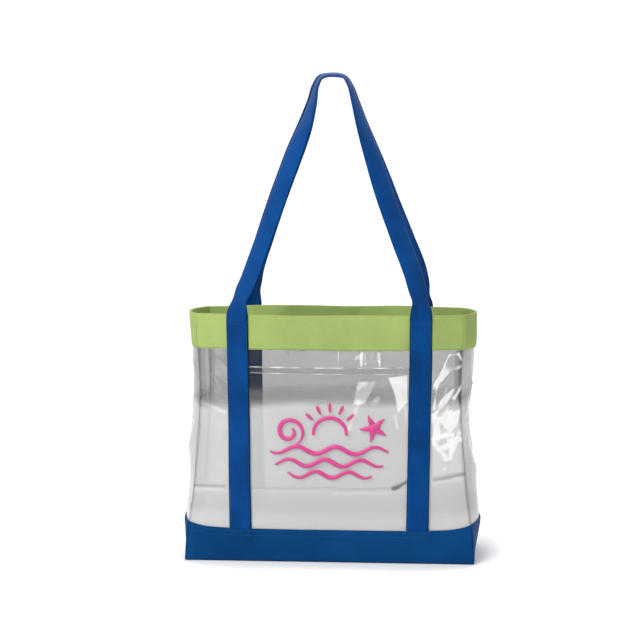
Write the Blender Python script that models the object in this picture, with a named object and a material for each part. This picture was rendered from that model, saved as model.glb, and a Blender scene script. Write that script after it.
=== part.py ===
"""Clear beach tote: see-through film walls, cloth top band and base boot, webbing straps.

The bag stands on its base at z = 0, centred on the origin. X runs along the long side,
-Y is the front (the side with the slip pocket) and +Z is up. All lengths are in metres.

Every sheet is laid on one reference skin, the bag's body. A sheet's place across that skin
is its offset: film lies on it, cloth over the film, webbing over the cloth, and the top edge
of the base boot over the ends of the webbing.
"""

import math

import bpy
import bmesh
from mathutils import Vector

# Driving dimensions of the body
BAG_HEIGHT = 0.356
BAND_HEIGHT = 0.050
BOOT_HEIGHT = 0.0484
BOOT_END_RISE = 0.008
WALL_LAP = 0.012
SEAM_TRIM = 0.0006
BOW_POWER = 2.8

# The body's plan at five heights: half length and half depth at the corner seams,
# half depth at the middle of the long walls, and how far the end gussets bulge.
BODY_PLAN = (
    # height, corner x, corner y, middle y, gusset bulge
    (0.000, 0.2060, 0.0732, 0.0732, 0.0000),
    (0.050, 0.2030, 0.0670, 0.0795, 0.0115),
    (0.110, 0.1955, 0.0610, 0.0815, 0.0120),
    (0.230, 0.1875, 0.0545, 0.0790, 0.0140),
    (0.356, 0.1915, 0.0571, 0.0810, 0.0160),
)
BOOT_ROWS = 4
ROW_SPACING = 0.030
WALL_COLUMNS = 16
GUSSET_COLUMNS = 6

# Sheet thicknesses, and each layer's inner face over the reference skin
FILM = 0.0008
CLOTH = 0.0010
WEBBING = 0.0020
FILM_LAYER = -FILM / 2
CLOTH_LAYER = 0.0009
STRAP_LAYER = 0.0028
BOOT_FLARE = 0.0046
FLARE_DEPTH = 0.012

# Slip pocket between the front straps
POCKET_HALF_WIDTH = 0.120
POCKET_TOP = 0.2815
POCKET_GAPE = 0.009
POCKET_FREE_HALF_WIDTH = 0.106
POCKET_FILM = 0.0005
HEM_HEIGHT = 0.009
LAYER_GAP = 0.0003
POCKET_COLUMNS = 14

# Webbing: straps up the walls and the handle loops above the rim
WEB_WIDTH = 0.032
STRAP_X_TOP = 0.130
STRAP_X_FOOT = 0.1263
STRAP_FOOT = 0.040
HANDLE_FOOT = 0.3572
HANDLE_TOP = 0.698
HANDLE_TOP_Y = 0.0175
HANDLE_STATIONS = 64
# Half of a handle loop, from the rim to the middle of the top: x and height
HANDLE_ROUTE = (
    (STRAP_X_TOP, HANDLE_FOOT),
    (0.1295, 0.366),
    (0.0988, 0.461),
    (0.0396, 0.631),
    (0.0268, 0.676),
    (0.0170, 0.692),
    (0.0000, HANDLE_TOP),
)
LEG_ROLL = math.radians(45)
TOP_ROLL = math.radians(80)
# Shares of the way up a leg where the first turn ends and the second begins
LEG_TURN = 0.2
TOP_TURN = 0.62

# The handles fold about lines just outside the straps, at the rim
HINGE_CLEARANCE = 0.001
HINGE_HEIGHT = 0.3565


def smoothstep(value):
    """Ease from 0 to 1, flat at both ends."""
    value = min(1.0, max(0.0, value))
    return value * value * (3 - 2 * value)


def plan_at(height):
    """The body's plan at a height, read from BODY_PLAN with a smooth curve."""
    keys = BODY_PLAN
    last = len(keys) - 2
    index = next((i for i in range(last) if height < keys[i + 1][0]), last)
    low, high = keys[index], keys[index + 1]
    before, after = keys[max(index - 1, 0)], keys[min(index + 2, last + 1)]
    span = high[0] - low[0]
    t = (height - low[0]) / span
    values = []
    for a, b, c, d in zip(before[1:], low[1:], high[1:], after[1:]):
        slope_low = (c - a) / (high[0] - before[0]) * span
        slope_high = (d - b) / (after[0] - low[0]) * span
        rise = (2 * t**3 - 3 * t**2 + 1) * b + (3 * t**2 - 2 * t**3) * c
        bend = (t**3 - 2 * t**2 + t) * slope_low + (t**3 - t**2) * slope_high
        values.append(rise + bend)
    return values


def wall_point(x, height, offset):
    """A point of the front wall, an offset out from the reference skin."""
    corner_x, corner_y, middle_y, _ = plan_at(height)
    share = min(abs(x) / corner_x, 1.0)
    bow = middle_y - corner_y
    y = -corner_y - bow * (1 - share**BOW_POWER)
    slope = math.copysign(bow * BOW_POWER * share ** (BOW_POWER - 1) / corner_x, x)
    normal = Vector((slope, -1, 0)).normalized()
    return Vector((x, y, height)) + normal * offset


def gusset_point(share, height, offset):
    """A point of the right end gusset; share runs from -1 at the front to 1 at the back."""
    corner_x, corner_y, _, bulge = plan_at(height)
    x = corner_x + bulge * (1 - share * share)
    normal = Vector((1, 2 * bulge * share / corner_y, 0)).normalized()
    return Vector((x, share * corner_y, height)) + normal * offset


def row_heights(low, high):
    """Heights of a sheet's rows: its two edges, and the body's common rows between them."""
    fine = BOOT_HEIGHT / BOOT_ROWS
    common = [i * fine for i in range(BOOT_ROWS + 2)]
    while common[-1] < high:
        common.append(common[-1] + ROW_SPACING)
    clear = fine / 4
    return [low] + [z for z in common if low + clear < z < high - clear] + [high]


def spread(count):
    """Evenly spaced values from -1 to 1."""
    return [2 * i / count - 1 for i in range(count + 1)]


def mirrored_y(point):
    return Vector((point.x, -point.y, point.z))


def mirrored_x(point):
    return Vector((-point.x, point.y, point.z))


def material(name, colour, roughness, metallic=0.0, alpha=1.0):
    """A Principled material."""
    made = bpy.data.materials.new(name)
    made.use_nodes = True
    shader = made.node_tree.nodes["Principled BSDF"]
    shader.inputs["Base Color"].default_value = (*colour, 1.0)
    shader.inputs["Roughness"].default_value = roughness
    shader.inputs["Metallic"].default_value = metallic
    shader.inputs["Alpha"].default_value = alpha
    made.diffuse_color = (*colour, alpha)
    return made


def closed_sheet(name, inner, outer, made_of, place=None):
    """A closed solid between two grids of points, moved by place, with its faces outwards."""
    place = place or Vector
    mesh = bpy.data.meshes.new(name)
    shape = bmesh.new()
    sides = [[[shape.verts.new(place(p)) for p in row] for row in grid] for grid in (inner, outer)]
    rows, columns = len(inner), len(inner[0])
    for grid in sides:
        for i in range(rows - 1):
            for j in range(columns - 1):
                shape.faces.new((grid[i][j], grid[i][j + 1], grid[i + 1][j + 1], grid[i + 1][j]))
    rims = [
        [(i, 0) for i in range(rows)],
        [(i, columns - 1) for i in range(rows)],
        [(0, j) for j in range(columns)],
        [(rows - 1, j) for j in range(columns)],
    ]
    for rim in rims:
        for (i, j), (k, m) in zip(rim, rim[1:]):
            shape.faces.new((sides[0][i][j], sides[0][k][m], sides[1][k][m], sides[1][i][j]))
    bmesh.ops.recalc_face_normals(shape, faces=shape.faces)
    shape.to_mesh(mesh)
    shape.free()
    mesh.materials.append(made_of)
    made = bpy.data.objects.new(name, mesh)
    bpy.context.scene.collection.objects.link(made)
    return made


def wall_sheet(name, low, high, layer, thickness, made_of, place=None):
    """A sheet right across the front wall, between the corner seams."""

    def grid(offset):
        rows = []
        for height in row_heights(low, high):
            half = plan_at(height)[0] - SEAM_TRIM
            rows.append([wall_point(s * half, height, offset) for s in spread(WALL_COLUMNS)])
        return rows

    return closed_sheet(name, grid(layer), grid(layer + thickness), made_of, place)


def gusset_sheet(name, low, high, layer, thickness, made_of, place=None):
    """A sheet across the right end gusset, between the corner seams."""

    def grid(offset):
        rows = []
        for height in row_heights(low, high):
            half = 1 - SEAM_TRIM / plan_at(height)[1]
            rows.append([gusset_point(s * half, height, offset) for s in spread(GUSSET_COLUMNS)])
        return rows

    return closed_sheet(name, grid(layer), grid(layer + thickness), made_of, place)


def base_wrap(made_of):
    """Front boot, floor and back boot, cut from one length of cloth."""
    corner_x, corner_y, _, _ = plan_at(0)
    half_floor = corner_x - SEAM_TRIM
    flare_start = BOOT_HEIGHT - WALL_LAP - FLARE_DEPTH
    top_rows = 5

    def boot_row(share_up, offset):
        row = []
        for s in spread(WALL_COLUMNS):
            top = BOOT_HEIGHT + BOOT_END_RISE * abs(s) ** 12
            height = CLOTH + (top - CLOTH) * share_up
            half = plan_at(height)[0] - SEAM_TRIM
            lift = smoothstep((height - flare_start) / FLARE_DEPTH)
            flare = BOOT_FLARE * lift * (1 - abs(s) ** 10)
            row.append(wall_point(s * half, height, offset + flare))
        return row

    def grid(offset, floor_height):
        walls = [boot_row(1 - i / top_rows, offset) for i in range(top_rows)]
        floor_y = corner_y + offset
        floor = [Vector((s * half_floor, -floor_y, floor_height)) for s in spread(WALL_COLUMNS)]
        front = walls + [floor]
        return front + [[mirrored_y(p) for p in row] for row in reversed(front)]

    return closed_sheet("base_wrap", grid(CLOTH_LAYER, CLOTH), grid(CLOTH_LAYER + CLOTH, 0), made_of)


def base_end(name, made_of, place=None):
    """Cloth end of the boot, up to where the clear gusset begins."""
    return gusset_sheet(
        name, 0, BOOT_HEIGHT + BOOT_END_RISE, CLOTH_LAYER, CLOTH, made_of, place
    )


def pocket_offset(x, height):
    """Inner face of the slip pocket over the skin: snug at its edges, open at its mouth."""
    across = 1 - min(abs(x) / POCKET_FREE_HALF_WIDTH, 1.0) ** 2.5
    up = (height - STRAP_FOOT) / (POCKET_TOP - STRAP_FOOT)
    return CLOTH_LAYER + POCKET_GAPE * across * (1 - (1 - up) ** 2.5)


def pocket_sheet(name, low, high, lift, made_of):
    """A strip of the slip pocket, from low to high, lifted off the pocket's own film."""

    def grid(extra):
        rows = []
        for height in row_heights(low, high):
            row = []
            for s in spread(POCKET_COLUMNS):
                x = s * POCKET_HALF_WIDTH
                row.append(wall_point(x, height, pocket_offset(x, height) + lift + extra))
            rows.append(row)
        return rows

    return closed_sheet(name, grid(0), grid(POCKET_FILM), made_of)


def strap_x(height):
    """Middle of a strap: the straps spread a little from foot to rim."""
    share = (height - STRAP_FOOT) / (BAG_HEIGHT - STRAP_FOOT)
    return STRAP_X_FOOT + (STRAP_X_TOP - STRAP_X_FOOT) * share


def strap(name, made_of, place=None):
    """Webbing sewn up the right of the front wall, from under the boot to the rim."""

    def grid(offset):
        rows = []
        for height in row_heights(STRAP_FOOT, BAG_HEIGHT):
            middle = strap_x(height)
            across = (-WEB_WIDTH / 2, 0, WEB_WIDTH / 2)
            rows.append([wall_point(middle + d, height, offset) for d in across])
        return rows

    return closed_sheet(name, grid(STRAP_LAYER), grid(STRAP_LAYER + WEBBING), made_of, place)


def smooth_route(points, count):
    """Points evenly spaced along a smooth curve through the given points."""
    lengths = [(b - a).length for a, b in zip(points, points[1:])]
    headings = [(b - a) / d for a, b, d in zip(points, points[1:], lengths)]
    turns = [
        (h * e + g * d) / (d + e)
        for g, h, d, e in zip(headings, headings[1:], lengths[1:], lengths)
    ]
    tangents = [headings[0], *turns, headings[-1]]
    route = []
    for i in range(count + 1):
        left, span = sum(lengths) * i / count, 0
        while span < len(lengths) - 1 and left > lengths[span]:
            left -= lengths[span]
            span += 1
        reach = lengths[span]
        t = left / reach
        ends = (2 * t**3 - 3 * t**2 + 1) * points[span] + (3 * t**2 - 2 * t**3) * points[span + 1]
        low, high = (t**3 - 2 * t**2 + t) * tangents[span], (t**3 - t**2) * tangents[span + 1]
        route.append(ends + (low + high) * reach)
    return route


def handle(name, made_of, place=None):
    """Front handle loop: webbing that turns from facing forwards at the rim to lying flat on top."""
    foot = wall_point(STRAP_X_TOP, BAG_HEIGHT, STRAP_LAYER + WEBBING / 2)
    rise = HANDLE_TOP - HANDLE_FOOT

    def route_point(x, height):
        lean = (height - HANDLE_FOOT) / rise
        return Vector((x, foot.y + (-HANDLE_TOP_Y - foot.y) * lean, height))

    left = [route_point(-x, height) for x, height in HANDLE_ROUTE]
    right = [route_point(x, height) for x, height in reversed(HANDLE_ROUTE[:-1])]
    route = smooth_route(left + right, HANDLE_STATIONS)
    before_foot = left[0] - (left[1] - left[0])
    after_foot = right[-1] - (right[-2] - right[-1])
    lengthened = [before_foot, *route, after_foot]
    facing = wall_point(STRAP_X_TOP, BAG_HEIGHT, 1) - wall_point(STRAP_X_TOP, BAG_HEIGHT, 0)
    foot_roll = math.atan2(facing.x, -facing.y)
    inner, outer = [], []
    for i, point in enumerate(route):
        along = (lengthened[i + 2] - lengthened[i]).normalized()
        up_the_leg = 1 - abs(2 * i / HANDLE_STATIONS - 1)
        roll = foot_roll + (LEG_ROLL - foot_roll) * smoothstep(up_the_leg / LEG_TURN)
        roll += (TOP_ROLL - LEG_ROLL) * smoothstep((up_the_leg - TOP_TURN) / (1 - TOP_TURN))
        outwards = along.cross(Vector((0, 1, 0))).normalized()
        forwards = outwards.cross(along)
        face = forwards * math.cos(roll) + outwards * math.sin(roll)
        across = along.cross(face) * (WEB_WIDTH / 2)
        rows = [point - across, point + across]
        inner.append([p - face * (WEBBING / 2) for p in rows])
        outer.append([p + face * (WEBBING / 2) for p in rows])
    return closed_sheet(name, inner, outer, made_of, place)


def hinge_y():
    """The handle's fold line lies just outside the strap's forward edge."""
    edge = wall_point(STRAP_X_TOP - WEB_WIDTH / 2, BAG_HEIGHT, STRAP_LAYER + WEBBING)
    return edge.y - HINGE_CLEARANCE


def hang_on_hinge(piece, y):
    """Give a handle its origin on its fold line, leaving its shape where it is."""
    origin = Vector((0, y, HINGE_HEIGHT))
    piece.data.transform(piece.matrix_world.Translation(-origin))
    piece.location = origin


def half_turn(point):
    return Vector((-point.x, -point.y, point.z))


def main():
    for old in list(bpy.data.objects):
        bpy.data.objects.remove(old, do_unlink=True)

    film = material("clear_film", (0.80, 0.82, 0.83), 0.10, alpha=0.35)
    green = material("green_cloth", (0.39, 0.50, 0.17), 0.75)
    blue = material("blue_cloth", (0.007, 0.055, 0.185), 0.75)
    webbing = material("blue_webbing", (0.008, 0.075, 0.25), 0.65)

    film_low = BOOT_HEIGHT - WALL_LAP
    band_low = BAG_HEIGHT - BAND_HEIGHT
    film_high = band_low + WALL_LAP
    long_walls = {"front": None, "back": mirrored_y}
    end_walls = {"right": None, "left": mirrored_x}
    for side, place in long_walls.items():
        wall_sheet(f"{side}_clear_panel", film_low, film_high, FILM_LAYER, FILM, film, place)
        wall_sheet(f"{side}_top_band", band_low, BAG_HEIGHT, CLOTH_LAYER, CLOTH, green, place)
    for side, place in end_walls.items():
        gusset_sheet(f"{side}_clear_gusset", film_low, film_high, FILM_LAYER, FILM, film, place)
        gusset_sheet(f"{side}_top_band", band_low, BAG_HEIGHT, CLOTH_LAYER, CLOTH, green, place)
        base_end(f"{side}_base_end", blue, place)
    base_wrap(blue)

    pocket_sheet("front_pocket", STRAP_FOOT, POCKET_TOP, 0, film)
    hem_lift = POCKET_FILM + LAYER_GAP
    pocket_sheet("pocket_hem", POCKET_TOP - HEM_HEIGHT, POCKET_TOP, hem_lift, film)

    strap("front_right_strap", webbing)
    strap("front_left_strap", webbing, mirrored_x)
    strap("back_right_strap", webbing, mirrored_y)
    strap("back_left_strap", webbing, half_turn)
    hang_on_hinge(handle("front_handle", webbing), hinge_y())
    hang_on_hinge(handle("back_handle", webbing, mirrored_y), -hinge_y())


main()
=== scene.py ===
"""Clear beach tote: the finished look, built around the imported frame.

Every sheet of the bag lies on one reference skin, the body's shape. A place on it is given by
a share across and a height, and an offset out from it. Film lies on the skin, cloth over the
film, and webbing over the cloth. Lengths are in metres.
"""

import math

import bpy
import numpy as np
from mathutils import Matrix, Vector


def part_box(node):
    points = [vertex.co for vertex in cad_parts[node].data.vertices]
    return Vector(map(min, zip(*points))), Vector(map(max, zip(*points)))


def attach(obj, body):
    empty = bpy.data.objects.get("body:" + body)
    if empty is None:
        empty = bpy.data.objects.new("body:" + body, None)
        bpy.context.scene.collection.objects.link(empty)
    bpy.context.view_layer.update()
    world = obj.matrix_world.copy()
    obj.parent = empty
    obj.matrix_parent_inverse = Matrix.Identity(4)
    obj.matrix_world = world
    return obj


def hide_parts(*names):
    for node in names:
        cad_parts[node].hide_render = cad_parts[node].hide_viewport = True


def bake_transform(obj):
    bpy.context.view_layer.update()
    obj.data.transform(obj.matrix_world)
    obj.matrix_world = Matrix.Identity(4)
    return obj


bl_info = {
    "name": "Clear Beach Tote",
    "version": (1, 0, 0),
    "blender": (4, 5, 0),
    "location": "View3D > Sidebar > Tote",
    "description": "Builds a clear beach tote with cloth trim and webbing handles",
    "category": "Add Mesh",
}

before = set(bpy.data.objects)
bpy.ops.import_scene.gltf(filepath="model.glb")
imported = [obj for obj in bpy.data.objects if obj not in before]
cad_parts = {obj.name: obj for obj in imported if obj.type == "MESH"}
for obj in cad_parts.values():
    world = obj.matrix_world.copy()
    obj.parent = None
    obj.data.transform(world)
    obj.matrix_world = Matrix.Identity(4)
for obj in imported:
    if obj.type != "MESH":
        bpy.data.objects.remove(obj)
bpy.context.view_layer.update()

# Heights and the pocket's half width, read from the frame
RIM = float(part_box("front_top_band")[1][2])
BAND_LOW = float(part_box("front_top_band")[0][2])
FILM_LOW = float(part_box("front_clear_panel")[0][2])
FILM_HIGH = float(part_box("front_clear_panel")[1][2])
POCKET_LOW, POCKET_HIGH = (float(corner[2]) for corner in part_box("front_pocket"))
POCKET_HALF = float(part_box("front_pocket")[1][0])
BOOT_CORNER_HIGH = float(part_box("base_wrap")[1][2])

# The body's plan at five heights, as the frame's solids have it
BODY_PLAN = np.array(
    (
        # height, corner x, corner y, middle y, gusset bulge
        (0.000, 0.2060, 0.0732, 0.0732, 0.0000),
        (0.050, 0.2030, 0.0670, 0.0795, 0.0115),
        (0.110, 0.1955, 0.0610, 0.0815, 0.0120),
        (0.230, 0.1875, 0.0545, 0.0790, 0.0140),
        (0.356, 0.1915, 0.0571, 0.0810, 0.0160),
    )
)
BOW_POWER = 2.8
# Where each end gusset stands out or in: height, reach up and down, and rise
RIGHT_BULGES = ((0.325, 0.030, 0.004), (0.195, 0.030, -0.0035), (0.112, 0.032, 0.0040))
LEFT_BULGES = ((0.160, 0.045, 0.0055), (0.255, 0.030, 0.0010))
BOOT_HIGH = 0.0484
SEAM_TRIM = 0.0001

# Webbing route
STRAP_X_TOP, STRAP_X_FOOT, STRAP_FOOT = 0.130, 0.1263, 0.040
HANDLE_FOOT, HANDLE_TOP, HANDLE_TOP_Y = 0.3572, 0.698, 0.0175
HANDLE_ROUTE = (
    # x and height along one loop, from the left strap over the top to the right strap
    (-0.1295, 0.366),
    (-0.1155, 0.405),
    (-0.0957, 0.461),
    (-0.0758, 0.518),
    (-0.0565, 0.574),
    (-0.0359, 0.631),
    (-0.0277, 0.659),
    (-0.0220, 0.682),
    (-0.0152, 0.6935),
    (0.0019, 0.6975),
    (0.0192, 0.6935),
    (0.0271, 0.682),
    (0.0350, 0.659),
    (0.0434, 0.631),
    (0.0625, 0.574),
    (0.0808, 0.518),
    (0.1018, 0.461),
    (0.1225, 0.405),
    (0.1305, 0.366),
)
RIM_ROLL = math.radians(14)
FOOT_ROLL, LEG_ROLL, TOP_ROLL = math.radians(10), math.radians(36), math.radians(82)

# Layers, as distances out from the reference skin: outer faces, the boot's turned-in edge,
# and the middle of the straps' thickness
BAND_FACE, BOOT_FACE, POCKET_FACE = 0.0017, 0.0022, 0.0008
BOOT_TURN_IN = 0.0011
STRAP_MIDDLE = 0.0030
# How far the boot's edge stands out over a strap, and a stitch's middle above its cloth
STRAP_BUMP, STITCH_RISE = 0.0030, 0.0001
# The back left strap is sewn this much further in than the others
BACK_LEFT_IN = 0.0030
# Stitch lines: below the rim, above the band's lower edge, and below the boot's upper edge
RIM_STITCH_DROP, BAND_STITCH_RISE = 0.0045, 0.0035
BOOT_STITCH_DROPS = (0.0035, 0.0095)

# Film tones. It is milky below HAZE_TOP, most of all below FOOT_TOP, and smoky above, a tint
# that is painted shade for the bag's dim inside; each change runs over the stretch between two
# heights. White and density are shares of 1; the GLARE ones carry painted crease highlights and
# painted shade.
HAZE_TOP, FOOT_TOP = (0.219, 0.238), (0.060, 0.085)
LOW_WHITE, FOOT_WHITE, GLARE_WHITE = 0.66, 0.06, 1.1
FILM_DENSITY, LOW_DENSITY, FOOT_DENSITY = 0.245, 0.24, 0.22
GLARE_DENSITY, GRAZING_DENSITY = 0.58, 0.12
# How much of that density each clear part has
FILM_LAYERS = {"clear_film": 1.0, "pocket_film": 0.18, "hem_film": 0.12, "seam_film": 0.38}

# Rows and columns of a long wall's film, fine enough for its creases
WALL_ROWS, WALL_COLUMNS = 168, 236


# ---------------------------------------------------------------- the body's shape


def ease(value):
    """Ease from 0 to 1, flat at both ends."""
    value = np.clip(value, 0.0, 1.0)
    return value * value * (3 - 2 * value)


def hermite(t):
    """Weights of a smooth stretch's two ends and of the slopes there, from 0 to 1 along it."""
    return 2 * t**3 - 3 * t**2 + 1, 3 * t**2 - 2 * t**3, t**3 - 2 * t**2 + t, t**3 - t**2


def plan_at(height):
    """Corner x, corner y, middle y and bulge at each height, on a smooth curve."""
    height = np.asarray(height, float)
    keys, last = BODY_PLAN, len(BODY_PLAN) - 2
    index = np.clip(np.searchsorted(keys[:, 0], height, side="right") - 1, 0, last)
    low, high = keys[index], keys[index + 1]
    before, after = keys[np.maximum(index - 1, 0)], keys[np.minimum(index + 2, last + 1)]
    span = (high[..., 0] - low[..., 0])[..., None]
    t = (height - low[..., 0])[..., None] / span
    slope_low = (high - before)[..., 1:] / (high - before)[..., :1] * span
    slope_high = (after - low)[..., 1:] / (after - low)[..., :1] * span
    start, finish, leave, arrive = hermite(t)
    rise = start * low[..., 1:] + finish * high[..., 1:]
    bend = leave * slope_low + arrive * slope_high
    return np.moveaxis(rise + bend, -1, 0)


def waves(across, up, seed, longest, height, count=7):
    """Gentle seeded undulation, as cloth and film have where nothing holds them flat."""
    random = np.random.default_rng(seed)
    total = np.zeros(np.broadcast(across, up).shape)
    for _ in range(count):
        length = longest * random.uniform(0.35, 1.0)
        turn, phase = random.uniform(0, 2 * math.pi, 2)
        along = across * math.cos(turn) + up * math.sin(turn)
        total += np.sin(2 * math.pi * along / length + phase) * length / longest
    return total * height / count


def wall_sway(share, height, side):
    """How far the long wall stands out of its even shape: nothing at its seams and base."""
    loose = (1 - share**6) * ease(height / 0.08)
    return loose * waves(share * 0.2, height, 11 if side < 0 else 12, 0.16, 0.0034)


def wall(x, height, offset, side=-1):
    """Points of a long wall; side is -1 for the front and 1 for the back."""
    x, height = np.broadcast_arrays(np.asarray(x, float), np.asarray(height, float))
    corner_x, corner_y, middle_y, _ = plan_at(height)
    share = np.clip(x / corner_x, -1, 1)
    bow = middle_y - corner_y
    depth = corner_y + bow * (1 - np.abs(share) ** BOW_POWER)
    slope = np.sign(x) * bow * BOW_POWER * np.abs(share) ** (BOW_POWER - 1) / corner_x
    long = np.sqrt(slope**2 + 1)
    out = offset + wall_sway(share, height, side)
    return np.stack((x + slope / long * out, side * (depth + out / long), height), -1)


def wall_facing(x, height, side=-1):
    """Unit vectors out of a long wall."""
    step = wall(x, height, 0.001, side) - wall(x, height, 0.0, side)
    return step / np.linalg.norm(step, axis=-1, keepdims=True)


def gusset_sway(share, height, end):
    """How far an end gusset stands out of its even shape."""
    loose = (1 - share**4) * ease(height / 0.08)
    sway = waves(share * 0.06, height, 21 if end > 0 else 22, 0.12, 0.0030)
    bumps = RIGHT_BULGES if end > 0 else LEFT_BULGES
    bulge = sum(rise * np.exp(-(((height - middle) / reach) ** 2)) for middle, reach, rise in bumps)
    return loose * (sway + bulge)


def gusset(share, height, offset, end=1):
    """Points of an end gusset; end is 1 for the right and -1 for the left."""
    share, height = np.broadcast_arrays(np.asarray(share, float), np.asarray(height, float))
    corner_x, corner_y, _, bulge = plan_at(height)
    slope = 2 * bulge * share / corner_y
    long = np.sqrt(slope**2 + 1)
    out = offset + gusset_sway(share, height, end)
    x = corner_x + bulge * (1 - share**2) + out / long
    return np.stack((end * x, share * corner_y + slope / long * out, height), -1)


# ---------------------------------------------------------------- meshes


def bag_settings():
    return bpy.context.scene.tote_sizes, bpy.context.scene.tote_colours


def new_object(name, points, faces, material):
    """A mesh object with smooth faces, in the scene."""
    mesh = bpy.data.meshes.new(name)
    mesh.from_pydata([tuple(p) for p in points], [], [tuple(f) for f in faces])
    mesh.materials.append(material)
    mesh.shade_smooth()
    made = bpy.data.objects.new(name, mesh)
    bpy.context.scene.collection.objects.link(made)
    return made


def lengths_along(grid, axis):
    """Distance along the middle line of a grid, in metres."""
    middle = grid.take(grid.shape[1 - axis] // 2, axis=1 - axis)
    steps = np.linalg.norm(np.diff(middle, axis=0), axis=1)
    return np.concatenate(([0], np.cumsum(steps)))


def solidify(piece, thickness, offset):
    """Give a sheet its thickness and apply it."""
    bpy.ops.object.select_all(action="DESELECT")
    bpy.context.view_layer.objects.active = piece
    piece.select_set(True)
    bpy.ops.object.modifier_add(type="SOLIDIFY")
    modifier = piece.modifiers[-1]
    modifier.thickness = thickness
    modifier.offset = offset
    bpy.ops.object.modifier_apply(modifier=modifier.name)
    piece.select_set(False)


def make_sheet(name, grid, material, thickness, flip=False, offset=-1, glare=None):
    """A closed sheet on a grid of rows and columns, with a UV map in metres."""
    rows, columns = grid.shape[:2]
    index = np.arange(rows * columns).reshape(rows, columns)
    corners = [index[:-1, :-1], index[:-1, 1:], index[1:, 1:], index[1:, :-1]]
    faces = np.stack([c.ravel() for c in (corners[::-1] if flip else corners)], -1)
    made = new_object(name, grid.reshape(-1, 3), faces.tolist(), material)
    across, along = np.meshgrid(lengths_along(grid, 1), lengths_along(grid, 0))
    uv = np.stack((across.ravel(), along.ravel()), -1)[faces.ravel()]
    layer = made.data.uv_layers.new(name="metres")
    layer.data.foreach_set("uv", uv.astype(np.float32).ravel())
    shine = made.data.attributes.new("glare", "FLOAT", "POINT")
    values = np.zeros(rows * columns) if glare is None else glare.ravel()
    shine.data.foreach_set("value", values.astype(np.float32))
    solidify(made, thickness, offset)
    return made


def flat_size(grid):
    """Width and length of a grid laid flat."""
    return float(lengths_along(grid, 1)[-1]), float(lengths_along(grid, 0)[-1])


def place(piece, slot, nodes):
    """Ride a piece on the bag, in the place of its CAD nodes. Clear film casts no shadow."""
    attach(piece, "bag")
    piece.visible_shadow = "film" not in slot
    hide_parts(*nodes)


# ---------------------------------------------------------------- shader expressions


class Value:
    """A shader socket that Python's arithmetic works on."""

    def __init__(self, maker, socket):
        self.maker, self.socket = maker, socket

    def _math(self, operation, *others):
        values = dict(enumerate((self, *others)))
        return self.maker.node("ShaderNodeMath", {"operation": operation}, values)

    def __add__(self, other):
        return self._math("ADD", other)

    def __mul__(self, other):
        return self._math("MULTIPLY", other)

    def __sub__(self, other):
        return self._math("SUBTRACT", other)

    def __rsub__(self, other):
        return self.maker.node("ShaderNodeMath", {"operation": "SUBTRACT"}, {0: other, 1: self})

    __radd__, __rmul__ = __add__, __mul__

    def wave(self):
        """The sine of this value."""
        return self._math("SINE")

    def size(self):
        """This value without its sign."""
        return self._math("ABSOLUTE")

    def least(self, other):
        return self._math("MINIMUM", other)

    def between(self, low, high):
        """0 below low, 1 above high, and eased between them."""
        settings = {"interpolation_type": "SMOOTHSTEP"}
        return self.maker.node("ShaderNodeMapRange", settings, {0: self, 1: low, 2: high})


class Finish:
    """A Principled material whose nodes are added by expressions."""

    def __init__(self, name, **constants):
        self.material = bpy.data.materials.new(name)
        self.material.use_nodes = True
        self.tree = self.material.node_tree
        self.shader = self.tree.nodes["Principled BSDF"]
        for socket, value in constants.items():
            self.shader.inputs[socket.replace("_", " ")].default_value = value

    def node(self, kind, settings=None, values=None, output=0):
        """Add a node: its settings are set first, then its sockets' values or links."""
        made = self.tree.nodes.new(kind)
        for key, setting in (settings or {}).items():
            setattr(made, key, setting)
        for key, value in (values or {}).items():
            if isinstance(value, Value):
                self.tree.links.new(value.socket, made.inputs[key])
            else:
                made.inputs[key].default_value = value
        return Value(self, made.outputs[output])

    def feed(self, **links):
        for socket, value in links.items():
            self.tree.links.new(value.socket, self.shader.inputs[socket.replace("_", " ")])

    def blend(self, factor, low, high):
        """Mix two colours."""
        colours = [c if isinstance(c, Value) else (*c, 1.0) for c in (low, high)]
        settings = {"data_type": "RGBA"}
        return self.node("ShaderNodeMix", settings, {0: factor, 6: colours[0], 7: colours[1]}, 2)

    def metres(self):
        """The sheet's own place across and along, in metres."""
        uv = self.node("ShaderNodeUVMap", {"uv_map": "metres"})
        return [self.node("ShaderNodeSeparateXYZ", None, {0: uv}, i) for i in range(2)]

    def spot(self):
        """Object coordinates."""
        return self.node("ShaderNodeTexCoord", None, None, 3)

    def noise(self, scale, detail, roughness=0.55):
        values = {"Vector": self.spot(), "Scale": scale, "Detail": detail, "Roughness": roughness}
        return self.node("ShaderNodeTexNoise", None, values)

    def bump(self, height, distance, strength, under=None):
        values = {"Height": height, "Distance": distance, "Strength": strength}
        if under is not None:
            values["Normal"] = under
        return self.node("ShaderNodeBump", None, values)

    def attribute(self, name):
        return self.node("ShaderNodeAttribute", {"attribute_name": name}, None, 2)


def plain_weave(finish, pitch):
    """Height of a plain weave: threads that pass over and under each other."""
    across, along = finish.metres()
    first = (across * (math.pi / pitch)).wave()
    second = (along * (math.pi / pitch)).wave()
    over = (first * second).between(-0.25, 0.25)
    return first.size() * over + second.size() * (1 - over)


def bright(colour):
    """The colour at full strength, for the tint of a dyed thread's gloss."""
    return (*(c / max(colour) for c in colour), 1.0)


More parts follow.
